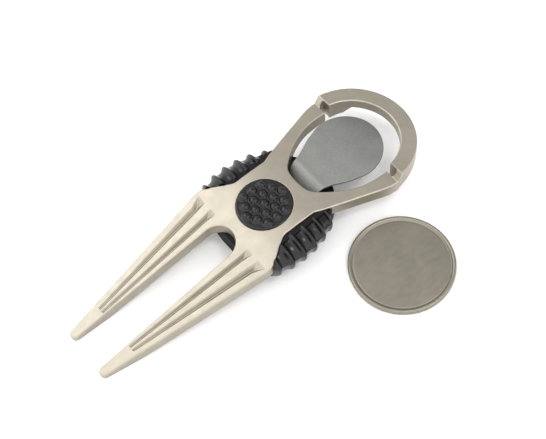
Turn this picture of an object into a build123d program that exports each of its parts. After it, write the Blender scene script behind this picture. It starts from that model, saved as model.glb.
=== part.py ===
"""Divot repair tool: a two-pronged fork with a carrying ring, a spring clip, rubber grips and a ball marker.

Millimetres. +Z is up, +Y runs from the prong tips to the ring, and the origin is on the floor under the
centre of the thumb pad, where the underside of the grip body rests.
"""
from math import sqrt
import os

from build123d import *

os.makedirs("parts", exist_ok=True)

# Oversize stock that the outlines are cut from
STOCK_HALF = 30.0
STOCK_HEIGHT = 12.0

# Fork frame, seen from above
WAIST_HALF = 9.2
WAIST_TOP_Y = 7.3
WAIST_LOW_Y = -0.8
ARM_ROOT_X = 10.0
ARM_ROOT_Y = 9.2
ARM_POINTS = ((14.1, 22.1), (11.9, 15.0))
FLARE_POINTS = ((10.0, -3.0), (12.5, -6.9))
SHOULDER_HALF = 13.5
SHOULDER_Y = -10.4
TIP_Y = -52.4
TIP_ROUND = 1.0
TIP_OUTER_X = 7.1
TIP_INNER_X = 4.75
SLOT_HALF = 4.3
CROTCH_Y = -9.8
RING_CENTRE_Y = 27.2
RING_OUTER_R = 15.15
RING_INNER_R = 11.15
OPENING_END_Y = 9.6
OPENING_POINTS = ((10.6, 21.0), (9.1, 17.0), (5.4, 11.5))

# Fork frame, seen from the side
WAIST_BOTTOM_Z = 6.1
SEAT_TOP_Y = 12.0
SEAT_END_Y = -7.0
CROWN_Z = 10.2
CROWN_Y = 0.7
CROWN_RADIUS = 66.0
ARM_END_Y = 27.8
ARM_TOP_Z = 8.0
ARM_BOTTOM_Z = 4.4
ARC_END_Y = 29.1
ARC_TOP_Z = 10.2
ARC_BOTTOM_Z = 5.0
ARC_RISE = 1.0
ARC_BEVEL = 3.1
ARC_BEVEL_SHIFT = 1.5
ARC_BEVEL_ANGLE = 45
TIP_TOP_Z = 1.35
CLIP_RELIEF_HALF = 5.4
CLIP_RELIEF_Z = 8.2
CLIP_RELIEF_START_Y = 8.6
HEEL_Y = -43.0
SHANK_Y = -12.0
SHANK_BOTTOM_Z = 4.9
RING_END_Y = RING_CENTRE_Y + RING_OUTER_R
EDGE_RADIUS = 0.3
RIM_MARGIN = 0.35

# Notches that part the raised arc of the ring from its arms
NOTCH_WIDTH = ARC_END_Y - ARM_END_Y
NOTCH_Y = (ARC_END_Y + ARM_END_Y) / 2
NOTCH_START_X = 10.15
NOTCH_END_X = 13.5

# Grooves along each prong: (y, centre x, half-width, depth) at the mouth, the throat and the far end
OUTER_GROOVE = ((-9.9, 11.35, 1.4, 1.3), (-12.7, 10.5, 0.95, 1.1), (-43.6, 6.68, 0.42, 0.45))
INNER_GROOVE = ((-9.9, 6.95, 1.05, 1.25), (-12.7, 6.8, 0.8, 1.05), (-43.6, 5.55, 0.42, 0.45))
GROOVE_RISE = 0.4
GROOVE_END_SLOPE = 0.72

# Grip body under the waist
BODY_CENTRE_Y = -0.8
BODY_RADIUS = 13.4
BODY_NOSE_Y = 5.0
BODY_NOSE_RADIUS = 12.5
BODY_END_Y = -10.8
BASE_CENTRE_Y = 0.7
BASE_RADIUS = 12.0
LIP_X = 10.6
LIP_Z = 9.3
FRAME_GAP = 0.12
FRAME_SPACE_END_Y = -16.8
FRAME_SPACE_END_Z = 3.5
# Half section of the barrel: lip x, lip z, shoulder, widest place, flank, foot
BODY_PROFILE = (9.6, 8.6, (12.2, 7.9), (13.3, 6.3), (12.9, 3.6), (BASE_RADIUS, 0))

# Ribbed side grips
GRIP_CENTRE_X = -5.3
GRIP_CENTRE_Y = -0.9
VALLEY_RADIUS = 20.35
RIB_RADIUS = 21.1
RIB_WIDTH = 1.4
RIB_PITCH = 3.35
RIB_FIRST_Y = -7.25
RIB_COUNT = 6
GRIP_LOW_Y = -8.3
GRIP_HIGH_Y = 10.3
GRIP_FOOT_Z = 1.0
RIB_PROFILE = (10.0, 9.75, (14.1, 9.2), (15.8, 7.3), (15.2, 4.2), (12.7, GRIP_FOOT_Z))
VALLEY_PROFILE = (10.0, 9.1, (13.4, 8.6), (15.0, 7.0), (14.4, 4.1), (12.5, GRIP_FOOT_Z))

# Thumb pad
PAD_RADIUS = 6.75
PAD_SEAT_RADIUS = 6.8
PAD_TOP_Z = 9.8
PAD_SEAT_Z = 7.6
PAD_EDGE_RADIUS = 0.3
STEM_RADIUS = 2.4
STEM_BOTTOM_Z = 4.9
STEM_POCKET_RADIUS = 3.3
STEM_POCKET_Z = 4.4
NUB_COLUMNS = 2
NUB_PITCH = 2.6
NUB_RADIUS = 1.03
NUB_HEIGHT = 0.75

# Spring clip
CLIP_THICKNESS = 0.6
PADDLE_Y = 24.8
PADDLE_RADIUS = 9.0
PADDLE_MID_Z = 8.35
PADDLE_SIDE_Y = 21.3
ROOT_MID_Z = 5.75
ROOT_HALF = 4.9
ROOT_START_Y = 5.2
BEND_START_Y = 9.6
BEND_END_Y = 13.2
BEND_RADIUS = 4.0
LEAF_POINTS = ((5.7, 15.0), (6.85, 17.4))
HINGE_Y = 11.4
HINGE_GAP = 0.3
CLIP_POCKET_Z = 4.3
CLIP_POCKET_MARGIN = 0.8
RIVET_X = 3.2
RIVET_Y = 7.6
RIVET_SHANK_RADIUS = 0.8
RIVET_HEAD_RADIUS = 1.45
RIVET_HEAD_HEIGHT = 0.6
RIVET_TIP_Z = 8.5

# Fasteners and magnet
SCREW_PLACES = ((7.0, -6.6), (-7.0, -6.6), (7.2, 7.0), (-7.2, 7.0))
SCREW_SHANK_RADIUS = 1.0
SCREW_HEAD_RADIUS = 1.9
SCREW_HEAD_Z = 1.2
SCREW_HEAD_HEIGHT = 1.2
SCREW_TIP_Z = 8.3
SCREW_HOLE_DEPTH = 0.2
CROSS_LENGTH = 2.4
CROSS_WIDTH = 0.5
CROSS_DEPTH = 0.6
FIT_GAP = 0.1
MAGNET_RADIUS = 4.0
MAGNET_THICKNESS = 2.0

# Ball marker, lying face up beside the tool
MARKER_X = 29.05
MARKER_Y = 16.66
MARKER_RADIUS = 12.5
MARKER_THICKNESS = 1.5
MARKER_RIM = 0.9
MARKER_RECESS = 0.45
MARKER_EDGE_RADIUS = 0.3


def save(part, name):
    """Label a finished piece and write it to its own STEP file."""
    part.label = name
    export_step(part, f"parts/{name}.step")


# --- Shared outlines -------------------------------------------------------------------------------------
def waist_edge(grow):
    """Right-hand edge of arm, waist and shoulder, moved outward by a small gap."""
    Spline(
        (RING_OUTER_R + grow, RING_CENTRE_Y),
        *[(x + grow, y) for x, y in ARM_POINTS],
        (ARM_ROOT_X + grow, ARM_ROOT_Y),
        tangents=((0, -1), (-0.33, -1)),
    )
    Line((ARM_ROOT_X + grow, ARM_ROOT_Y), (WAIST_HALF + grow, WAIST_TOP_Y))
    Line((WAIST_HALF + grow, WAIST_TOP_Y), (WAIST_HALF + grow, WAIST_LOW_Y))
    Spline(
        (WAIST_HALF + grow, WAIST_LOW_Y),
        *[(x + grow, y) for x, y in FLARE_POINTS],
        (SHOULDER_HALF + grow, SHOULDER_Y),
        tangents=((0, -1), (-0.1, -1)),
    )


# Outer outline of the fork frame: ring, arms, waist, shoulders, prongs and crotch.
with BuildSketch() as frame_outline:
    with BuildLine():
        RadiusArc((0, RING_END_Y), (RING_OUTER_R, RING_CENTRE_Y), RING_OUTER_R)
        waist_edge(0)
        Line((SHOULDER_HALF, SHOULDER_Y), (TIP_OUTER_X, TIP_Y + TIP_ROUND))
        ThreePointArc(
            (TIP_OUTER_X, TIP_Y + TIP_ROUND),
            ((TIP_OUTER_X + TIP_INNER_X) / 2, TIP_Y),
            (TIP_INNER_X, TIP_Y + TIP_ROUND),
        )
        Line((TIP_INNER_X, TIP_Y + TIP_ROUND), (SLOT_HALF, CROTCH_Y - SLOT_HALF))
        RadiusArc((SLOT_HALF, CROTCH_Y - SLOT_HALF), (0, CROTCH_Y), -SLOT_HALF)
        Line((0, CROTCH_Y), (0, RING_END_Y))
    make_face()
    mirror(about=Plane.YZ)

# Opening inside the ring: round at the top, egg-shaped where the arms meet the waist.
with BuildSketch() as ring_opening:
    with BuildLine() as opening:
        RadiusArc((0, RING_CENTRE_Y + RING_INNER_R), (RING_INNER_R, RING_CENTRE_Y), RING_INNER_R)
        Spline(
            (RING_INNER_R, RING_CENTRE_Y),
            *OPENING_POINTS,
            (0, OPENING_END_Y),
            tangents=((0, -1), (-1, 0)),
        )
        Line((0, OPENING_END_Y), (0, RING_CENTRE_Y + RING_INNER_R))
    make_face()
    mirror(about=Plane.YZ)

# Side view of the frame: a crowned top from the arm's end to the prong tip, and the underside back again.
with BuildSketch(Plane.YZ) as frame_side:
    with BuildLine():
        FilletPolyline((ARM_END_Y, ARM_TOP_Z), (CROWN_Y, CROWN_Z), (TIP_Y, TIP_TOP_Z), radius=CROWN_RADIUS)
        Polyline(
            (TIP_Y, TIP_TOP_Z),
            (TIP_Y, 0),
            (HEEL_Y, 0),
            (SHANK_Y, SHANK_BOTTOM_Z),
            (SEAT_END_Y, WAIST_BOTTOM_Z),
            (SEAT_TOP_Y, WAIST_BOTTOM_Z),
            (ARM_END_Y, ARM_BOTTOM_Z),
            (ARC_END_Y, ARC_BOTTOM_Z),
            (RING_END_Y, ARC_BOTTOM_Z + ARC_RISE),
            (RING_END_Y, ARC_TOP_Z - ARC_RISE),
            (ARC_END_Y, ARC_TOP_Z),
            (ARM_END_Y, ARM_TOP_Z),
        )
    make_face()


def crown_height(y):
    """Height of the straight, sloping top of the prongs at a distance y along the tool."""
    slope = (CROWN_Z - TIP_TOP_Z) / (CROWN_Y - TIP_Y)
    return CROWN_Z + slope * (y - CROWN_Y)


def groove_section(side, y, centre_x, half_width, depth):
    """V-shaped section of a groove, carried a little way above the prong's surface."""
    wide = half_width * (depth + GROOVE_RISE) / depth
    plane = Plane(origin=(side * centre_x, y, crown_height(y)), x_dir=(1, 0, 0), z_dir=(0, -1, 0))
    return plane * make_face(Polyline((-wide, GROOVE_RISE), (wide, GROOVE_RISE), (0, -depth), close=True))


def groove(side, sections):
    """Tapering V-groove that starts at a sloping end facet near the shoulder."""
    body = loft([groove_section(side, *section) for section in sections], ruled=True)
    mouth_y = sections[0][0]
    facet = Plane(origin=(0, mouth_y, crown_height(mouth_y)), z_dir=(0, -GROOVE_END_SLOPE, 1))
    return split(body, bisect_by=facet, keep=Keep.TOP)


# --- Fork frame ------------------------------------------------------------------------------------------
grooves = [groove(side, sections) for side in (1, -1) for sections in (OUTER_GROOVE, INNER_GROOVE)]
with BuildPart() as fork_frame:
    extrude(frame_outline.sketch, amount=STOCK_HEIGHT)
    extrude(ring_opening.sketch, amount=STOCK_HEIGHT, mode=Mode.SUBTRACT)
    extrude(frame_side.sketch, amount=STOCK_HALF, both=True, mode=Mode.INTERSECT)
    top_faces = ShapeList(face for face in fork_frame.faces() if face.normal_at().Z > 0.4)
    top_rim = ShapeList(
        edge for edge in top_faces.edges() if sum(edge in face.edges() for face in top_faces) == 1
    )
    fillet(top_rim.filter_by(lambda edge: edge.center().Y < ARM_END_Y - RIM_MARGIN), EDGE_RADIUS)
    fillet(
        fork_frame.edges().filter_by(
            lambda edge: edge.center().Y > ARC_END_Y + RIM_MARGIN and edge.center().Z > ARM_TOP_Z
        ),
        EDGE_RADIUS,
    )
    add(grooves, mode=Mode.SUBTRACT)
    with BuildSketch() as notches:
        with Locations((NOTCH_START_X, NOTCH_Y), (-NOTCH_START_X, NOTCH_Y)):
            SlotOverall(2 * (NOTCH_END_X - NOTCH_START_X), NOTCH_WIDTH)
    extrude(amount=STOCK_HEIGHT, mode=Mode.SUBTRACT)
    # Bevel on the inner underside of the raised arc.
    with BuildSketch(Plane.XY.offset(ARC_BOTTOM_Z - ARC_BEVEL)) as arc_bevel:
        with Locations((0, RING_CENTRE_Y - ARC_BEVEL_SHIFT)):
            Circle(RING_INNER_R + 2 * ARC_BEVEL)
        with Locations((0, ARC_END_Y)):
            Rectangle(4 * RING_OUTER_R, 4 * RING_OUTER_R, align=(Align.CENTER, Align.MAX), mode=Mode.SUBTRACT)
    extrude(amount=2 * ARC_BEVEL, taper=ARC_BEVEL_ANGLE, mode=Mode.SUBTRACT)
    # Relief under the end of the opening, through which the clip's leaf rises.
    with Locations((0, CLIP_RELIEF_START_Y, 0)):
        Box(
            2 * CLIP_RELIEF_HALF,
            BEND_END_Y - CLIP_RELIEF_START_Y,
            CLIP_RELIEF_Z,
            align=(Align.CENTER, Align.MIN, Align.MIN),
            mode=Mode.SUBTRACT,
        )
    with Locations((0, 0, PAD_SEAT_Z)):
        Cylinder(
            PAD_SEAT_RADIUS,
            STOCK_HEIGHT,
            align=(Align.CENTER, Align.CENTER, Align.MIN),
            mode=Mode.SUBTRACT,
        )
    Cylinder(
        STEM_RADIUS + FIT_GAP,
        STOCK_HEIGHT,
        align=(Align.CENTER, Align.CENTER, Align.MIN),
        mode=Mode.SUBTRACT,
    )
    with Locations((RIVET_X, RIVET_Y), (-RIVET_X, RIVET_Y)):
        Cylinder(
            RIVET_SHANK_RADIUS,
            RIVET_TIP_Z,
            align=(Align.CENTER, Align.CENTER, Align.MIN),
            mode=Mode.SUBTRACT,
        )
    with Locations(*SCREW_PLACES):
        Cylinder(
            SCREW_SHANK_RADIUS,
            SCREW_TIP_Z + SCREW_HOLE_DEPTH,
            align=(Align.CENTER, Align.CENTER, Align.MIN),
            mode=Mode.SUBTRACT,
        )
save(fork_frame.part, "fork_frame")

# --- Grip body -------------------------------------------------------------------------------------------
# Space that the frame takes above the grip body, with a small gap all round.
with BuildSketch(Plane.YZ) as above_body:
    with BuildLine():
        Polyline(
            (FRAME_SPACE_END_Y, FRAME_SPACE_END_Z),
            (SHANK_Y, SHANK_BOTTOM_Z - FRAME_GAP),
            (SEAT_END_Y, WAIST_BOTTOM_Z - FRAME_GAP),
            (SEAT_TOP_Y, WAIST_BOTTOM_Z - FRAME_GAP),
            (ARM_END_Y, ARM_BOTTOM_Z - FRAME_GAP),
            (ARM_END_Y, STOCK_HEIGHT),
            (FRAME_SPACE_END_Y, STOCK_HEIGHT),
            close=True,
        )
    make_face()
with BuildSketch() as wide_outline:
    with BuildLine():
        waist_edge(FRAME_GAP)
        Polyline(
            (SHOULDER_HALF + FRAME_GAP, SHOULDER_Y),
            (SHOULDER_HALF + FRAME_GAP, FRAME_SPACE_END_Y),
            (0, FRAME_SPACE_END_Y),
            (0, RING_CENTRE_Y),
            (RING_OUTER_R + FRAME_GAP, RING_CENTRE_Y),
        )
    make_face()
    mirror(about=Plane.YZ)
with BuildPart() as frame_space:
    extrude(wide_outline.sketch, amount=STOCK_HEIGHT)
    extrude(above_body.sketch, amount=STOCK_HALF, both=True, mode=Mode.INTERSECT)

# Outline from above: a round waist piece with a rounder nose towards the ring and a flat end at the crotch.
with BuildSketch() as body_outline:
    with Locations((0, BODY_CENTRE_Y)):
        Circle(BODY_RADIUS)
    with Locations((0, BODY_NOSE_Y)):
        Circle(BODY_NOSE_RADIUS)
    with Locations((0, BODY_END_Y)):
        Rectangle(2 * STOCK_HALF, STOCK_HALF, align=(Align.CENTER, Align.MAX), mode=Mode.SUBTRACT)


def barrel_section(lip_x, lip_z, shoulder, widest, flank, foot):
    """Half section of the body or grip from the lip, over the widest place, down to its foot."""
    with BuildSketch(Plane.XZ) as section:
        with BuildLine():
            Line((0, foot[1]), foot)
            ThreePointArc(foot, flank, widest)
            ThreePointArc(widest, shoulder, (lip_x, lip_z))
            Line((lip_x, lip_z), (0, lip_z))
            Line((0, lip_z), (0, foot[1]))
        make_face()
        mirror(about=Plane.YZ)
    return section.sketch


with BuildSketch(Plane.XZ) as lip_section:
    Rectangle(2 * LIP_X, LIP_Z, align=(Align.CENTER, Align.MIN))

body_section = barrel_section(*BODY_PROFILE)

with BuildPart() as grip_body:
    extrude(body_outline.sketch, amount=LIP_Z)
    extrude(body_section + lip_section.sketch, amount=STOCK_HALF, both=True, mode=Mode.INTERSECT)
    with Locations((0, BASE_CENTRE_Y, 0)):
        Cone(
            BASE_RADIUS,
            BASE_RADIUS + STOCK_HEIGHT,
            STOCK_HEIGHT,
            align=(Align.CENTER, Align.CENTER, Align.MIN),
            mode=Mode.INTERSECT,
        )
    add(frame_space.part, mode=Mode.SUBTRACT)
    # Pocket for the clip's root and the bend in front of it.
    with Locations((0, ROOT_START_Y - CLIP_POCKET_MARGIN, CLIP_POCKET_Z)):
        Box(
            2 * (ROOT_HALF + CLIP_POCKET_MARGIN),
            BEND_END_Y - ROOT_START_Y + 2 * CLIP_POCKET_MARGIN,
            STOCK_HEIGHT,
            align=(Align.CENTER, Align.MIN, Align.MIN),
            mode=Mode.SUBTRACT,
        )
    with Locations((0, 0, STEM_POCKET_Z)):
        Cylinder(
            STEM_POCKET_RADIUS,
            STOCK_HEIGHT,
            align=(Align.CENTER, Align.CENTER, Align.MIN),
            mode=Mode.SUBTRACT,
        )
    with Locations((0, BASE_CENTRE_Y, 0)):
        Cylinder(
            MAGNET_RADIUS,
            MAGNET_THICKNESS,
            align=(Align.CENTER, Align.CENTER, Align.MIN),
            mode=Mode.SUBTRACT,
        )
    with Locations(*SCREW_PLACES):
        Cylinder(
            SCREW_SHANK_RADIUS,
            STOCK_HEIGHT,
            align=(Align.CENTER, Align.CENTER, Align.MIN),
            mode=Mode.SUBTRACT,
        )
        Cylinder(
            SCREW_HEAD_RADIUS + FIT_GAP,
            SCREW_HEAD_Z + SCREW_HEAD_HEIGHT,
            align=(Align.CENTER, Align.CENTER, Align.MIN),
            mode=Mode.SUBTRACT,
        )
save(grip_body.part, "grip_body")

# --- Ribbed side grips -----------------------------------------------------------------------------------
rib_section = barrel_section(*RIB_PROFILE)
valley_section = barrel_section(*VALLEY_PROFILE)


def grip_outline(radius):
    """Lens-shaped outline from above: two large arcs, one for each side of the tool."""
    with BuildSketch() as outline:
        with Locations((GRIP_CENTRE_X, GRIP_CENTRE_Y)):
            Circle(radius)
        with Locations((-GRIP_CENTRE_X, GRIP_CENTRE_Y)):
            Circle(radius, mode=Mode.INTERSECT)
    return outline.sketch


with BuildPart() as rib_stock:
    extrude(grip_outline(RIB_RADIUS), amount=STOCK_HEIGHT)
    extrude(rib_section, amount=STOCK_HALF, both=True, mode=Mode.INTERSECT)
    with BuildSketch():
        for index in range(RIB_COUNT):
            with Locations((0, RIB_FIRST_Y + index * RIB_PITCH)):
                Rectangle(2 * STOCK_HALF, RIB_WIDTH)
    extrude(amount=STOCK_HEIGHT, mode=Mode.INTERSECT)

with BuildPart() as grip_stock:
    extrude(grip_outline(VALLEY_RADIUS), amount=STOCK_HEIGHT)
    extrude(valley_section, amount=STOCK_HALF, both=True, mode=Mode.INTERSECT)
    add(rib_stock.part)
    with Locations((0, GRIP_LOW_Y, 0)):
        Box(
            2 * STOCK_HALF,
            GRIP_HIGH_Y - GRIP_LOW_Y,
            STOCK_HEIGHT,
            align=(Align.CENTER, Align.MIN, Align.MIN),
            mode=Mode.INTERSECT,
        )
    add(grip_body.part, mode=Mode.SUBTRACT)
    add(frame_space.part, mode=Mode.SUBTRACT)
    Box(2 * LIP_X, 2 * STOCK_HALF, 2 * STOCK_HEIGHT, mode=Mode.SUBTRACT)

for side, name in ((1, "side_grip_right"), (-1, "side_grip_left")):
    with BuildPart() as side_grip:
        add(grip_stock.part)
        with Locations((side * STOCK_HALF, 0, 0)):
            Box(2 * STOCK_HALF, 2 * STOCK_HALF, 2 * STOCK_HEIGHT, mode=Mode.INTERSECT)
    save(side_grip.part, name)

# --- Thumb pad: a rubber button with a field of round nubs and a stem through the frame --------------------
nub_places = []
for column in range(-NUB_COLUMNS, NUB_COLUMNS + 1):
    rows = 2 * NUB_COLUMNS + 1 - abs(column)
    for row in range(rows):
        nub_x = column * NUB_PITCH * sqrt(3) / 2
        nub_y = (row - (rows - 1) / 2) * NUB_PITCH
        nub_places.append((nub_x, nub_y, PAD_TOP_Z + NUB_HEIGHT - NUB_RADIUS))

with BuildPart() as thumb_pad:
    with Locations((0, 0, PAD_SEAT_Z)):
        Cylinder(PAD_RADIUS, PAD_TOP_Z - PAD_SEAT_Z, align=(Align.CENTER, Align.CENTER, Align.MIN))
    fillet(thumb_pad.edges().group_by(Axis.Z)[-1], PAD_EDGE_RADIUS)
    with Locations((0, 0, STEM_BOTTOM_Z)):
        Cylinder(STEM_RADIUS, PAD_SEAT_Z - STEM_BOTTOM_Z, align=(Align.CENTER, Align.CENTER, Align.MIN))
    with Locations(*nub_places):
        Sphere(NUB_RADIUS)
save(thumb_pad.part, "thumb_pad")

# --- Spring clip -----------------------------------------------------------------------------------------
# The leaf is one stamping on the real tool. It is parted here at its bend, about which the blade flexes.
PADDLE_SIDE_X = sqrt(PADDLE_RADIUS**2 - (PADDLE_Y - PADDLE_SIDE_Y) ** 2)
with BuildSketch(Plane.YZ) as leaf_side:
    with BuildLine():
        FilletPolyline(
            (ROOT_START_Y, ROOT_MID_Z),
            (BEND_START_Y, ROOT_MID_Z),
            (BEND_END_Y, PADDLE_MID_Z),
            (PADDLE_Y + 2 * PADDLE_RADIUS, PADDLE_MID_Z),
            radius=BEND_RADIUS,
        )
    trace(line_width=CLIP_THICKNESS)
with BuildSketch() as leaf_outline:
    with BuildLine():
        Line((0, ROOT_START_Y), (ROOT_HALF, ROOT_START_Y))
        Line((ROOT_HALF, ROOT_START_Y), (ROOT_HALF, BEND_START_Y))
        Spline(
            (ROOT_HALF, BEND_START_Y),
            *LEAF_POINTS,
            (PADDLE_SIDE_X, PADDLE_SIDE_Y),
            tangents=((0, 1), (PADDLE_Y - PADDLE_SIDE_Y, PADDLE_SIDE_X)),
        )
        RadiusArc((PADDLE_SIDE_X, PADDLE_SIDE_Y), (0, PADDLE_Y + PADDLE_RADIUS), -PADDLE_RADIUS)
        Line((0, PADDLE_Y + PADDLE_RADIUS), (0, ROOT_START_Y))
    make_face()
    mirror(about=Plane.YZ)
with BuildPart() as leaf:
    extrude(leaf_outline.sketch, amount=STOCK_HEIGHT)
    extrude(leaf_side.sketch, amount=STOCK_HALF, both=True, mode=Mode.INTERSECT)

with BuildPart() as spring_clip:
    add(leaf.part)
    with Locations((0, HINGE_Y + HINGE_GAP / 2, 0)):
        Box(
            2 * STOCK_HALF,
            2 * STOCK_HALF,
            2 * STOCK_HALF,
            align=(Align.CENTER, Align.MIN, Align.CENTER),
            mode=Mode.INTERSECT,
        )
save(spring_clip.part, "spring_clip")

with BuildPart() as clip_root:
    add(leaf.part)
    with Locations((0, HINGE_Y - HINGE_GAP / 2, 0)):
        Box(
            2 * STOCK_HALF,
            2 * STOCK_HALF,
            2 * STOCK_HALF,
            align=(Align.CENTER, Align.MAX, Align.CENTER),
            mode=Mode.INTERSECT,
        )
    with Locations((RIVET_X, RIVET_Y), (-RIVET_X, RIVET_Y)):
        Cylinder(RIVET_SHANK_RADIUS, 2 * STOCK_HEIGHT, mode=Mode.SUBTRACT)
save(clip_root.part, "clip_root")

RIVET_FOOT_Z = ROOT_MID_Z - CLIP_THICKNESS / 2 - RIVET_HEAD_HEIGHT
with BuildPart() as clip_rivets:
    with Locations((RIVET_X, RIVET_Y, RIVET_FOOT_Z), (-RIVET_X, RIVET_Y, RIVET_FOOT_Z)):
        Cylinder(RIVET_HEAD_RADIUS, RIVET_HEAD_HEIGHT, align=(Align.CENTER, Align.CENTER, Align.MIN))
        Cylinder(
            RIVET_SHANK_RADIUS,
            RIVET_TIP_Z - RIVET_FOOT_Z,
            align=(Align.CENTER, Align.CENTER, Align.MIN),
        )
save(clip_rivets.part, "clip_rivets")

# --- Screws, magnet and ball marker ------------------------------------------------------------------------
with BuildPart() as body_screws:
    with Locations(*SCREW_PLACES):
        with Locations((0, 0, SCREW_HEAD_Z)):
            Cylinder(
                SCREW_HEAD_RADIUS,
                SCREW_HEAD_HEIGHT,
                align=(Align.CENTER, Align.CENTER, Align.MIN),
            )
            Cylinder(
                SCREW_SHANK_RADIUS,
                SCREW_TIP_Z - SCREW_HEAD_Z,
                align=(Align.CENTER, Align.CENTER, Align.MIN),
            )
            Box(CROSS_LENGTH, CROSS_WIDTH, 2 * CROSS_DEPTH, mode=Mode.SUBTRACT)
            Box(CROSS_WIDTH, CROSS_LENGTH, 2 * CROSS_DEPTH, mode=Mode.SUBTRACT)
save(body_screws.part, "body_screws")

with BuildPart() as marker_magnet:
    with Locations((0, BASE_CENTRE_Y, 0)):
        Cylinder(
            MAGNET_RADIUS,
            MAGNET_THICKNESS,
            align=(Align.CENTER, Align.CENTER, Align.MIN),
        )
save(marker_magnet.part, "marker_magnet")

with BuildPart() as ball_marker:
    with Locations((MARKER_X, MARKER_Y, 0)):
        Cylinder(MARKER_RADIUS, MARKER_THICKNESS, align=(Align.CENTER, Align.CENTER, Align.MIN))
        fillet(ball_marker.edges(), MARKER_EDGE_RADIUS)
        with Locations((0, 0, MARKER_THICKNESS - MARKER_RECESS)):
            Cylinder(
                MARKER_RADIUS - MARKER_RIM,
                MARKER_THICKNESS,
                align=(Align.CENTER, Align.CENTER, Align.MIN),
                mode=Mode.SUBTRACT,
            )
save(ball_marker.part, "ball_marker")
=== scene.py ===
"""Looks for the divot repair tool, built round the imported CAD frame. Metres; +Z up, +Y towards the ring."""
import math

import bmesh
import bpy
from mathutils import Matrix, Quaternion, Vector


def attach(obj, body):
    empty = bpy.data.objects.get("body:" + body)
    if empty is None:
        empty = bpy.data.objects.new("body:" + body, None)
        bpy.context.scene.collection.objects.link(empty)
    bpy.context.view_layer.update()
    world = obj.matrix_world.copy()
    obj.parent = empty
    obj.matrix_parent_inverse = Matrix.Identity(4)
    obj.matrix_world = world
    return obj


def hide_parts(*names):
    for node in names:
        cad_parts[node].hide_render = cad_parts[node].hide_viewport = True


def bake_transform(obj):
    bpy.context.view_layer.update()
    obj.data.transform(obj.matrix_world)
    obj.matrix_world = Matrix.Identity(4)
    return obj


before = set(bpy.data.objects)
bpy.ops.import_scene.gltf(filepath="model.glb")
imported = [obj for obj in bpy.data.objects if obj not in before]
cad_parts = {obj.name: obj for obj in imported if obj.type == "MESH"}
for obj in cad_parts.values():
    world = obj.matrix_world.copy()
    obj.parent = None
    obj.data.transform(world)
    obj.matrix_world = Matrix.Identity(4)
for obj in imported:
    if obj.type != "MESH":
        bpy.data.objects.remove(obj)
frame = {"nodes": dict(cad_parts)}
bpy.context.view_layer.update()
nodes = frame["nodes"]

MM = 0.001

# Camera: a three-quarter view from the prong end, on the right-hand side, a little rolled
CAMERA_AZIMUTH = 57.77
CAMERA_ELEVATION = 60.33
CAMERA_ROLL = -7.69
CAMERA_DISTANCE = 230.67 * MM
CAMERA_TARGET = Vector((3.73, -0.57, 8.0)) * MM
CAMERA_LENS = 65.93

# Floor, in metres
FLOOR_HALF = 3.0
FLOOR_DROP = 0.0001

# Studio: a bright room that is dimmer over the ring end, and two soft boxes
ROOM_BRIGHT = 1.75
ROOM_DIM = 0.75
DIM_SIDE = Vector((-0.35, 0.65, 0.67))
KEY_PLACE = (-0.42, -0.10, 0.58)
KEY_SIZE = 0.45
KEY_POWER = 1.15
FILL_PLACE = (0.22, 0.16, 0.60)
FILL_SIZE = 0.14
FILL_POWER = 0.7

# Meshes
WELD = 0.000001
SHARP_ANGLE = 50

# Side grips, in millimetres like all the sizes below
GRIP_CENTRE_X = -5.3
GRIP_CENTRE_Y = -0.9
VALLEY_RADIUS = 20.35
RIB_RADIUS = 21.1
RIB_PITCH = 3.35
RIB_FIRST_Y = -7.25
RIB_SHARPNESS = 0.38
GRIP_LOW_Y = -8.3
GRIP_HIGH_Y = 10.3
GRIP_END_ROUND = 0.4
GRIP_DROP = 9.0
GRIP_END_FALL = 1.5
GRIP_FOOT_Z = 1.0
GRIP_BACK_X = 9.4
GRIP_ROW_PITCH = 0.11
GRIP_ROW_STEPS = 40
GRIP_SECTION_STEPS = 60
RIB_PROFILE = (10.0, 9.75, (14.1, 9.2), (15.8, 7.3), (15.2, 4.2), (12.7, GRIP_FOOT_Z))
VALLEY_PROFILE = (10.0, 8.9, (13.2, 8.4), (14.8, 6.9), (14.2, 4.1), (12.5, GRIP_FOOT_Z))
FRAME_GAP = 0.12
# Frame beside and above the grips: (y, half-width) and (y, height of the underside)
FRAME_EDGE = (
    (-10.4, 13.5),
    (-6.9, 12.5),
    (-5.0, 11.4),
    (-3.0, 10.0),
    (-1.9, 9.4),
    (-0.8, 9.2),
    (7.3, 9.2),
    (9.2, 10.0),
    (15, 11.9),
)
FRAME_UNDERSIDE = ((-12.0, 4.9), (-7.0, 6.1), (12.0, 6.1))

# Thumb pad
PAD_RADIUS = 6.75
PAD_EDGE = 0.3
PAD_EDGE_STEPS = 4
PAD_TOP_Z = 9.8
PAD_SEAT_Z = 7.6
PAD_RINGS = 56
PAD_SPOKES = 240
STEM_RADIUS = 2.4
STEM_BOTTOM_Z = 4.9
NUB_COLUMNS = 2
NUB_PITCH = 2.6
NUB_BASE = 1.2
NUB_HEIGHT = 0.75
NUB_FULLNESS = 0.75

# Spring leaf
CLIP_THICKNESS = 0.6
ROOT_START_Y = 5.2
ROOT_MID_Z = 5.75
PADDLE_MID_Z = 8.35
PADDLE_Y = 24.8
PADDLE_RADIUS = 9.0
PADDLE_SIDE_Y = 21.3
# Half-width of the leaf up to where the paddle's round end takes over: (y, half-width)
LEAF_SIDES = (
    (5.2, 4.9),
    (10.6, 4.9),
    (12.0, 5.02),
    (13.5, 5.3),
    (15.0, 5.7),
    (16.3, 6.25),
    (17.4, 6.85),
    (19.5, 7.82),
    (21.3, 8.292),
)
LEAF_EDGE = 0.14
LEAF_STEPS = 40
LEAF_EDGE_STEPS = 3
LEAF_END_STEPS = 40
LEAF_END_ANGLE = math.radians(89.6)
BEND_LOW_Y = 8.9
BEND_HIGH_Y = 13.9
BEND_STEPS = 24

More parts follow.
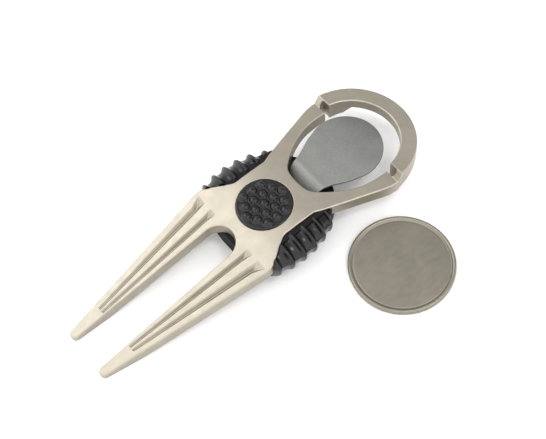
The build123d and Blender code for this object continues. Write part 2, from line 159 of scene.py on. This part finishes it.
# Ball marker: radius and height from the middle of its face, over the rim, to the middle of its underside
MARKER_X = 29.05
MARKER_Y = 16.66
MARKER_SPOKES = 180
MARKER_PROFILE = (
    (0.4, 1.05),
    (6.0, 1.05),
    (10.9, 1.05),
    (11.2, 1.04),
    (11.33, 1.0),
    (11.42, 1.04),
    (11.55, 1.2),
    (11.68, 1.36),
    (11.82, 1.46),
    (12.0, 1.5),
    (12.14, 1.5),
    (12.28, 1.46),
    (12.4, 1.37),
    (12.48, 1.24),
    (12.5, 1.1),
    (12.5, 0.35),
    (12.46, 0.17),
    (12.35, 0.05),
    (12.2, 0.0),
    (6.0, 0.0),
    (0.4, 0.0),
)


def principled(material):
    """The material's Principled BSDF node."""
    return next(node for node in material.node_tree.nodes if node.type == "BSDF_PRINCIPLED")


def link(material, source, target):
    material.node_tree.links.new(source, target)


def drive(material, socket, value):
    """Feeds one socket of the material's Principled shader from a node's output."""
    link(material, value, principled(material).inputs[socket])


def base_material(name, metallic, roughness, specular=0.5):
    """A Principled material whose constant values sit on its own sockets."""
    material = bpy.data.materials.new(name)
    material.use_nodes = True
    shader = principled(material)
    shader.inputs["Metallic"].default_value = metallic
    shader.inputs["Roughness"].default_value = roughness
    shader.inputs["Specular IOR Level"].default_value = specular
    return material


def noise(material, scale, detail=3.0, stretch=(1, 1, 1)):
    """Noise in the object's own space; scale is in features per metre."""
    nodes = material.node_tree.nodes
    place = nodes.new("ShaderNodeTexCoord")
    mapping = nodes.new("ShaderNodeMapping")
    mapping.inputs["Scale"].default_value = stretch
    texture = nodes.new("ShaderNodeTexNoise")
    texture.inputs["Scale"].default_value = scale
    texture.inputs["Detail"].default_value = detail
    link(material, place.outputs["Object"], mapping.inputs["Vector"])
    link(material, mapping.outputs["Vector"], texture.inputs["Vector"])
    return texture.outputs["Fac"]


def two_tone(material, factor, low, high, spread=(0.3, 0.7)):
    """Base colour that wanders between two tones with a 0 to 1 factor."""
    ramp = material.node_tree.nodes.new("ShaderNodeValToRGB")
    ramp.color_ramp.elements[0].position = spread[0]
    ramp.color_ramp.elements[0].color = (*low, 1)
    ramp.color_ramp.elements[1].position = spread[1]
    ramp.color_ramp.elements[1].color = (*high, 1)
    link(material, factor, ramp.inputs["Fac"])
    return ramp.outputs["Color"]


def remap(material, value, low, high, from_low=0.3, from_high=0.7):
    node = material.node_tree.nodes.new("ShaderNodeMapRange")
    node.inputs["From Min"].default_value = from_low
    node.inputs["From Max"].default_value = from_high
    node.inputs["To Min"].default_value = low
    node.inputs["To Max"].default_value = high
    link(material, value, node.inputs["Value"])
    return node.outputs["Result"]


def bump(material, height, strength, distance, normal=None):
    node = material.node_tree.nodes.new("ShaderNodeBump")
    node.inputs["Strength"].default_value = strength
    node.inputs["Distance"].default_value = distance
    link(material, height, node.inputs["Height"])
    if normal is not None:
        link(material, normal, node.inputs["Normal"])
    return node.outputs["Normal"]


def edge_mask(material, radius):
    """A mask that is 1 along edges and 0 on open faces, and the rounded normal that it comes from."""
    nodes = material.node_tree.nodes
    rounded = nodes.new("ShaderNodeBevel")
    rounded.samples = 6
    rounded.inputs["Radius"].default_value = radius
    geometry = nodes.new("ShaderNodeNewGeometry")
    lean = nodes.new("ShaderNodeVectorMath")
    lean.operation = "DOT_PRODUCT"
    link(material, rounded.outputs["Normal"], lean.inputs[0])
    link(material, geometry.outputs["Normal"], lean.inputs[1])
    return remap(material, lean.outputs["Value"], 1.0, 0.0, 0.90, 0.995), rounded.outputs["Normal"]


def mixed(material, factor, low, high):
    """Colour between two sockets."""
    node = material.node_tree.nodes.new("ShaderNodeMix")
    node.data_type = "RGBA"
    link(material, factor, node.inputs["Factor"])
    link(material, low, node.inputs["A"])
    link(material, high, node.inputs["B"])
    return node.outputs["Result"]


def satin_nickel():
    """Bead-blasted nickel plate: warm grey, faintly clouded, grain along the prongs, and edges painted
    lighter, partly as worn polish and partly as a painted edge highlight.
    """
    material = base_material("satin_nickel_plate", 1.0, 0.4)
    cloud = noise(material, 260, 4)
    streak = noise(material, 900, 4, (3.0, 0.35, 3.0))
    grain = noise(material, 7000, 2)
    scuff = noise(material, 1500, 5, (1.0, 0.5, 1.0))
    edges, rounded = edge_mask(material, 0.00022)
    plate = two_tone(material, cloud, (0.372, 0.339, 0.282), (0.418, 0.381, 0.315))
    bright = two_tone(material, scuff, (0.47, 0.435, 0.365), (0.60, 0.565, 0.485))
    # Along the edges the base colour turns lighter: partly the polish of wear, partly a painted highlight on
    # the rounded edges.
    drive(material, "Base Color", mixed(material, edges, plate, bright))
    drive(material, "Roughness", remap(material, streak, 0.36, 0.46))
    drive(material, "Normal", bump(material, grain, 0.25, 0.00002, rounded))
    return material


def marker_nickel():
    """The same plate on the marker, a shade darker, with scuffs that change its gloss."""
    material = base_material("marker_nickel_plate", 1.0, 0.42)
    cloud = noise(material, 220, 4)
    scuff = noise(material, 1200, 5, (1.0, 0.4, 1.0))
    grain = noise(material, 7000, 2)
    drive(material, "Base Color", two_tone(material, cloud, (0.238, 0.220, 0.180), (0.267, 0.247, 0.202)))
    drive(material, "Roughness", remap(material, scuff, 0.37, 0.47))
    drive(material, "Normal", bump(material, grain, 0.2, 0.00002))
    return material


def spring_steel():
    """Tumbled strip steel: cool grey with a coarse speckle and duller patches."""
    material = base_material("tumbled_spring_steel", 1.0, 0.55)
    cloud = noise(material, 200, 4)
    speckle = noise(material, 2600, 4)
    grain = noise(material, 5500, 3)
    shade = two_tone(material, cloud, (0.200, 0.203, 0.193), (0.228, 0.231, 0.219))
    bright = two_tone(material, cloud, (0.235, 0.238, 0.227), (0.262, 0.265, 0.253))
    drive(material, "Base Color", mixed(material, remap(material, speckle, 0.0, 1.0), shade, bright))
    drive(material, "Roughness", remap(material, cloud, 0.5, 0.6))
    drive(material, "Normal", bump(material, grain, 0.4, 0.00003))
    return material


def zinc_steel():
    """Zinc-plated screws and rivets: bright and cloudy, with faint turning marks."""
    material = base_material("zinc_plated_steel", 1.0, 0.35)
    cloud = noise(material, 700, 4)
    turned = noise(material, 2600, 3, (1.0, 1.0, 6.0))
    drive(material, "Base Color", two_tone(material, cloud, (0.34, 0.345, 0.35), (0.47, 0.475, 0.47)))
    drive(material, "Roughness", remap(material, turned, 0.26, 0.44))
    drive(material, "Normal", bump(material, turned, 0.25, 0.00002))
    return material


def magnet_plate():
    """Nickel-plated disc magnet: darker and smoother than the frame, with rubbed patches."""
    material = base_material("magnet_nickel_plate", 1.0, 0.25)
    rub = noise(material, 1100, 5)
    grain = noise(material, 6000, 2)
    drive(material, "Base Color", two_tone(material, rub, (0.24, 0.235, 0.225), (0.33, 0.325, 0.31)))
    drive(material, "Roughness", remap(material, rub, 0.2, 0.38))
    drive(material, "Normal", bump(material, grain, 0.15, 0.00002))
    return material


def black_rubber():
    """Moulded rubber: nearly black, a soft sheen that varies over the surface, fine moulded grain."""
    material = base_material("moulded_black_rubber", 0.0, 0.3, 0.4)
    cloud = noise(material, 500, 3)
    dust = noise(material, 1800, 5)
    grain = noise(material, 4500, 2)
    clean = two_tone(material, cloud, (0.0025, 0.0026, 0.0027), (0.005, 0.0052, 0.0054))
    dusty = two_tone(material, cloud, (0.006, 0.0062, 0.0064), (0.010, 0.0102, 0.0104))
    dustiness = remap(material, dust, 0.0, 1.0, 0.45, 0.75)
    drive(material, "Base Color", mixed(material, dustiness, clean, dusty))
    drive(material, "Roughness", remap(material, cloud, 0.2, 0.32))
    drive(material, "Normal", bump(material, grain, 0.2, 0.00003))
    return material


def black_plastic():
    """Spark-textured black plastic of the body, matt, with slightly worn and shinier patches."""
    material = base_material("textured_black_plastic", 0.0, 0.65, 0.2)
    patch = noise(material, 350, 4)
    grain = noise(material, 3500, 4)
    tone = two_tone(material, grain, (0.0025, 0.0025, 0.0025), (0.006, 0.006, 0.006))
    drive(material, "Base Color", tone)
    drive(material, "Roughness", remap(material, patch, 0.52, 0.72))
    drive(material, "Normal", bump(material, grain, 0.4, 0.00004))
    return material


def make_camera():
    """Camera at the named azimuth and elevation round the target, then rolled about its own axis."""
    azimuth = math.radians(CAMERA_AZIMUTH)
    elevation = math.radians(CAMERA_ELEVATION)
    forward = Vector(
        (
            -math.cos(elevation) * math.sin(azimuth),
            math.cos(elevation) * math.cos(azimuth),
            -math.sin(elevation),
        )
    )
    data = bpy.data.cameras.new("camera")
    data.lens = CAMERA_LENS
    data.sensor_width = 36
    data.sensor_fit = "HORIZONTAL"
    data.clip_start = 0.01
    data.clip_end = 10
    camera = bpy.data.objects.new("camera", data)
    camera.rotation_mode = "QUATERNION"
    level = forward.to_track_quat("-Z", "Y")
    camera.rotation_quaternion = level @ Quaternion((0, 0, 1), math.radians(CAMERA_ROLL))
    camera.location = CAMERA_TARGET - forward * CAMERA_DISTANCE
    bpy.context.scene.collection.objects.link(camera)
    bpy.context.scene.camera = camera


def soft_box(name, place, size, power):
    """Round area light that faces the origin."""
    data = bpy.data.lights.new(name, "AREA")
    data.shape = "DISK"
    data.size = size
    data.energy = power
    lamp = bpy.data.objects.new(name, data)
    lamp.location = place
    lamp.rotation_mode = "QUATERNION"
    lamp.rotation_quaternion = (-Vector(place)).to_track_quat("-Z", "Y")
    bpy.context.scene.collection.objects.link(lamp)


def make_world():
    """A white room, dimmer on the side that the flat tops mirror."""
    world = bpy.data.worlds.new("studio")
    world.use_nodes = True
    tree = world.node_tree
    place = tree.nodes.new("ShaderNodeTexCoord")
    facing = tree.nodes.new("ShaderNodeVectorMath")
    facing.operation = "DOT_PRODUCT"
    facing.inputs[1].default_value = DIM_SIDE.normalized()
    blend = tree.nodes.new("ShaderNodeMapRange")
    blend.interpolation_type = "SMOOTHSTEP"
    blend.inputs["From Min"].default_value = 0.35
    blend.inputs["From Max"].default_value = 0.98
    blend.inputs["To Min"].default_value = ROOM_BRIGHT
    blend.inputs["To Max"].default_value = ROOM_DIM
    background = tree.nodes["Background"]
    background.inputs["Color"].default_value = (1, 1, 1, 1)
    tree.links.new(place.outputs["Generated"], facing.inputs[0])
    tree.links.new(facing.outputs["Value"], blend.inputs["Value"])
    tree.links.new(blend.outputs["Result"], background.inputs["Strength"])
    bpy.context.scene.world = world


def make_stage():
    """White floor, room and lights."""
    mesh = bpy.data.meshes.new("floor")
    corners = [(x * FLOOR_HALF, y * FLOOR_HALF, 0) for x, y in ((-1, -1), (1, -1), (1, 1), (-1, 1))]
    mesh.from_pydata(corners, [], [(0, 1, 2, 3)])
    floor = bpy.data.objects.new("floor", mesh)
    floor.location.z = -FLOOR_DROP
    bpy.context.scene.collection.objects.link(floor)
    paper = base_material("white_paper", 0.0, 0.9, 0.1)
    principled(paper).inputs["Base Color"].default_value = (0.92, 0.92, 0.92, 1)
    floor.data.materials.append(paper)
    make_world()
    soft_box("key_light", KEY_PLACE, KEY_SIZE, KEY_POWER)
    soft_box("fill_light", FILL_PLACE, FILL_SIZE, FILL_POWER)
    bpy.context.scene.view_settings.view_transform = "Standard"


def piece(name, points, faces, material, body, slot_name, *stands_for):
    """A mesh piece from points in millimetres, smooth-shaded, that stands for some CAD nodes."""
    mesh = bpy.data.meshes.new(name)
    mesh.from_pydata([(x * MM, y * MM, z * MM) for x, y, z in points], [], faces)
    mesh.validate()
    mesh.update()
    shape = bmesh.new()
    shape.from_mesh(mesh)
    bmesh.ops.remove_doubles(shape, verts=shape.verts, dist=WELD)
    bmesh.ops.recalc_face_normals(shape, faces=shape.faces)
    shape.to_mesh(mesh)
    shape.free()
    mesh.materials.append(material)
    for polygon in mesh.polygons:
        polygon.use_smooth = True
    mesh.set_sharp_from_angle(angle=math.radians(SHARP_ANGLE))
    made = bpy.data.objects.new(name, mesh)
    bpy.context.scene.collection.objects.link(made)
    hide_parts(*stands_for)
    if body is not None:
        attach(made, body)
    return made


def loops_to_faces(loops, size):
    """Quads between closed loops of equal size, with the first and last loops capped."""
    faces = []
    for row in range(loops - 1):
        for column in range(size):
            following = (column + 1) % size
            low = row * size
            faces.append((low + column, low + following, low + size + following, low + size + column))
    faces.append(tuple(range(size)))
    faces.append(tuple(range((loops - 1) * size, loops * size)))
    return faces


def polyline_at(path, distance):
    """Point on a polyline at a distance along it."""
    for start, end in zip(path, path[1:]):
        step = math.dist(start, end)
        if distance <= step:
            share = distance / step
            return tuple(a + (b - a) * share for a, b in zip(start, end))
        distance -= step
    return path[-1]


def curve_through(values, y):
    """Straight-line interpolation in a table of (y, value) pairs with rising y."""
    if y <= values[0][0]:
        return values[0][1]
    for (low, first), (high, second) in zip(values, values[1:]):
        if y <= high:
            return first + (second - first) * (y - low) / (high - low)
    return values[-1][1]


# --- Side grips ------------------------------------------------------------------------------------------
def arc_points(start, middle, end, count):
    """Points on the circle through three points, from the first to the last."""
    (ax, ay), (bx, by), (cx, cy) = start, middle, end
    d = 2 * (ax * (by - cy) + bx * (cy - ay) + cx * (ay - by))
    ux = ((ax**2 + ay**2) * (by - cy) + (bx**2 + by**2) * (cy - ay) + (cx**2 + cy**2) * (ay - by)) / d
    uy = ((ax**2 + ay**2) * (cx - bx) + (bx**2 + by**2) * (ax - cx) + (cx**2 + cy**2) * (bx - ax)) / d
    radius = math.dist(start, (ux, uy))
    first = math.atan2(ay - uy, ax - ux)
    last = math.atan2(cy - uy, cx - ux)
    while last > first:
        last -= 2 * math.pi
    angles = [first + (last - first) * step / count for step in range(count + 1)]
    return [(ux + radius * math.cos(angle), uy + radius * math.sin(angle)) for angle in angles]


def grip_section(profile):
    """Half section of a grip as (x, z) points from its lip over the widest place to its foot."""
    lip_x, lip_z, shoulder, widest, flank, foot = profile
    upper = arc_points((lip_x, lip_z), shoulder, widest, GRIP_SECTION_STEPS)
    lower = arc_points(widest, flank, foot, GRIP_SECTION_STEPS)
    return upper + lower[1:]


def rib_share(y):
    """1 on the crest of a rib and 0 in the middle of a valley, rounded at both."""
    place = (y - RIB_FIRST_Y) / RIB_PITCH
    away = 2 * abs(place - round(place))
    return math.exp(-((away / RIB_SHARPNESS) ** 2))


def lens_half_width(y, radius):
    """Half-width at y of the lens-shaped outline that two large arcs make from above."""
    return GRIP_CENTRE_X + math.sqrt(radius**2 - (y - GRIP_CENTRE_Y) ** 2)


def grip_row(y, rib_path, valley_path):
    """One closed cross-section of the right-hand grip at a distance y along the tool."""
    share = rib_share(y)
    outline = lens_half_width(y, VALLEY_RADIUS) * (1 - share) + lens_half_width(y, RIB_RADIUS) * share
    from_end = min(y - GRIP_LOW_Y, GRIP_HIGH_Y - y)
    inset = 0.0
    if from_end < GRIP_END_ROUND:
        inset = GRIP_END_ROUND * (1 - math.sqrt(max(0.0, 1 - (1 - from_end / GRIP_END_ROUND) ** 2)))
    path = []
    for (rib_x, rib_z), (valley_x, valley_z) in zip(rib_path, valley_path):
        x = valley_x + (rib_x - valley_x) * share
        z = valley_z + (rib_z - valley_z) * share
        path.append((x, z))
    widest = max(x for x, z in path)
    lip = path[0][0]
    scale = (outline - inset - lip) / (widest - lip)
    fullest = lens_half_width(GRIP_CENTRE_Y, VALLEY_RADIUS) - lip
    drop = inset + GRIP_END_FALL * max(0.0, 1 - (outline - lip) / fullest)
    path = [(lip + (x - lip) * scale, z - drop * (z - GRIP_FOOT_Z) / GRIP_DROP) for x, z in path]
    edge = curve_through(FRAME_EDGE, y) + FRAME_GAP
    under = curve_through(FRAME_UNDERSIDE, y) - FRAME_GAP
    first = next(index for index, (x, z) in enumerate(path) if x >= edge or z <= under)
    visible = path[first:]
    total = sum(math.dist(a, b) for a, b in zip(visible, visible[1:]))
    outer = [polyline_at(visible, total * step / GRIP_ROW_STEPS) for step in range(GRIP_ROW_STEPS + 1)]
    start_z = min(under, outer[0][1])
    row = [(GRIP_BACK_X, start_z), (outer[0][0], start_z)] + outer + [(GRIP_BACK_X, outer[-1][1])]
    return [(x, y, z) for x, z in row]


def make_side_grip(side, name, material):
    """One ribbed grip; side is 1 for the right-hand one and -1 for the left-hand one."""
    rib_path = grip_section(RIB_PROFILE)
    valley_path = grip_section(VALLEY_PROFILE)
    rows = round((GRIP_HIGH_Y - GRIP_LOW_Y) / GRIP_ROW_PITCH)
    points = []
    for row in range(rows + 1):
        y = GRIP_LOW_Y + (GRIP_HIGH_Y - GRIP_LOW_Y) * row / rows
        points += [(side * x, y, z) for x, y, z in grip_row(y, rib_path, valley_path)]
    faces = loops_to_faces(rows + 1, len(points) // (rows + 1))
    return piece("ribbed_" + name, points, faces, material, "tool", "black_rubber", name)


# --- Thumb pad -------------------------------------------------------------------------------------------
def nub_places():
    """Centres of the nubs, in a hexagon of columns with the longest in the middle."""
    places = []
    for column in range(-NUB_COLUMNS, NUB_COLUMNS + 1):
        rows = 2 * NUB_COLUMNS + 1 - abs(column)
        for row in range(rows):
            places.append((column * NUB_PITCH * math.sqrt(3) / 2, (row - (rows - 1) / 2) * NUB_PITCH))
    return places


def dome(distance):
    """Height of a nub at a distance from its axis: a round cap that runs softly into the pad."""
    if distance >= NUB_BASE:
        return 0.0
    share = distance / NUB_BASE
    return NUB_HEIGHT * (1 - share**2) ** 1.25 * (1 + NUB_FULLNESS * share**2)


def make_thumb_pad(material):
    """Round pad from rings of points: a flat with the nubs raised on it, a rounded edge and a stem."""
    places = nub_places()
    flat_radius = PAD_RADIUS - PAD_EDGE
    profile = []
    for ring in range(1, PAD_RINGS + 1):
        profile.append((flat_radius * ring / PAD_RINGS, None))
    for step in range(1, PAD_EDGE_STEPS + 1):
        angle = math.pi / 2 * step / PAD_EDGE_STEPS
        fall = PAD_EDGE * (1 - math.cos(angle))
        profile.append((flat_radius + PAD_EDGE * math.sin(angle), PAD_TOP_Z - fall))
    profile += [(PAD_RADIUS, PAD_SEAT_Z), (STEM_RADIUS, PAD_SEAT_Z), (STEM_RADIUS, STEM_BOTTOM_Z)]
    centre_height = PAD_TOP_Z + max(dome(math.hypot(x, y)) for x, y in places)
    points = [(0, 0, centre_height)]
    for radius, height in profile:
        for spoke in range(PAD_SPOKES):
            angle = 2 * math.pi * spoke / PAD_SPOKES
            x = radius * math.cos(angle)
            y = radius * math.sin(angle)
            z = height
            if height is None:
                z = PAD_TOP_Z + max(dome(math.hypot(x - nub_x, y - nub_y)) for nub_x, nub_y in places)
            points.append((x, y, z))
    faces = [(0, 1 + spoke, 1 + (spoke + 1) % PAD_SPOKES) for spoke in range(PAD_SPOKES)]
    for ring in range(len(profile) - 1):
        inner = 1 + ring * PAD_SPOKES
        outer = inner + PAD_SPOKES
        for spoke in range(PAD_SPOKES):
            following = (spoke + 1) % PAD_SPOKES
            faces.append((inner + spoke, outer + spoke, outer + following, inner + following))
    last = 1 + (len(profile) - 1) * PAD_SPOKES
    faces.append(tuple(range(last, last + PAD_SPOKES)))
    return piece("nubbed_thumb_pad", points, faces, material, "tool", "black_rubber", "thumb_pad")


# --- Spring leaf -----------------------------------------------------------------------------------------
def leaf_stations():
    """Stations along the leaf as (y, z, lean, half-width), from its root to the paddle's end."""
    rise = PADDLE_MID_Z - ROOT_MID_Z
    stations = []
    for step in range(LEAF_STEPS):
        stations.append(ROOT_START_Y + (PADDLE_Y - ROOT_START_Y) * step / LEAF_STEPS)
    for step in range(LEAF_END_STEPS + 1):
        stations.append(PADDLE_Y + PADDLE_RADIUS * math.sin(LEAF_END_ANGLE * step / LEAF_END_STEPS))
    for step in range(1, BEND_STEPS):
        stations.append(BEND_LOW_Y + (BEND_HIGH_Y - BEND_LOW_Y) * step / BEND_STEPS)
    result = []
    for y in sorted(stations):
        share = min(max((y - BEND_LOW_Y) / (BEND_HIGH_Y - BEND_LOW_Y), 0), 1)
        z = ROOT_MID_Z + rise * share**2 * (3 - 2 * share)
        slope = rise * 6 * share * (1 - share) / (BEND_HIGH_Y - BEND_LOW_Y)
        if y > PADDLE_SIDE_Y:
            half = math.sqrt(max(PADDLE_RADIUS**2 - (y - PADDLE_Y) ** 2, 0))
        else:
            half = curve_through(LEAF_SIDES, y)
        result.append((y, z, math.atan(slope), half))
    return result


def leaf_loop(y, z, lean, half):
    """Closed section of the leaf with rounded edges, square to the way the strip runs."""
    thick = CLIP_THICKNESS / 2
    edge = min(LEAF_EDGE, half * 0.5)
    outline = []
    for corner_x, corner_z, first in ((1, 1, 90), (1, -1, 0), (-1, -1, -90), (-1, 1, -180)):
        for step in range(LEAF_EDGE_STEPS + 1):
            angle = math.radians(first - 90 * step / LEAF_EDGE_STEPS)
            across = corner_x * (half - edge) + edge * math.cos(angle)
            up = corner_z * (thick - LEAF_EDGE) + LEAF_EDGE * math.sin(angle)
            outline.append((across, up))
    return [(across, y - up * math.sin(lean), z + up * math.cos(lean)) for across, up in outline]


def make_spring_leaf(material):
    """The clip's whole leaf, which bends between the tool and the blade."""
    stations = leaf_stations()
    points = []
    for y, z, lean, half in stations:
        points += leaf_loop(y, z, lean, half)
    faces = loops_to_faces(len(stations), len(points) // len(stations))
    leaf = piece("spring_leaf", points, faces, material, None, "spring_steel", "spring_clip", "clip_root")
    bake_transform(leaf)
    return leaf


# --- Ball marker -----------------------------------------------------------------------------------------
def make_ball_marker(material):
    """Disc turned from its profile."""
    points = []
    for radius, height in MARKER_PROFILE:
        for spoke in range(MARKER_SPOKES):
            angle = 2 * math.pi * spoke / MARKER_SPOKES
            x = MARKER_X + radius * math.cos(angle)
            y = MARKER_Y + radius * math.sin(angle)
            points.append((x, y, height))
    faces = loops_to_faces(len(MARKER_PROFILE), MARKER_SPOKES)
    return piece("coin_marker", points, faces, material, "marker", "marker_nickel", "ball_marker")


make_camera()
make_stage()

rubber = black_rubber()
steel = spring_steel()
zinc = zinc_steel()
looks = {
    "fork_frame": satin_nickel(),
    "grip_body": black_plastic(),
    "side_grip_left": rubber,
    "side_grip_right": rubber,
    "thumb_pad": rubber,
    "spring_clip": steel,
    "clip_root": steel,
    "ball_marker": marker_nickel(),
    "clip_rivets": zinc,
    "body_screws": zinc,
    "marker_magnet": magnet_plate(),
}
for name, node in nodes.items():
    node.data.materials.clear()
    node.data.materials.append(looks[name])

make_side_grip(1, "side_grip_right", rubber)
make_side_grip(-1, "side_grip_left", rubber)
make_thumb_pad(rubber)
make_spring_leaf(steel)
make_ball_marker(looks["ball_marker"])

bpy.context.view_layer.update()
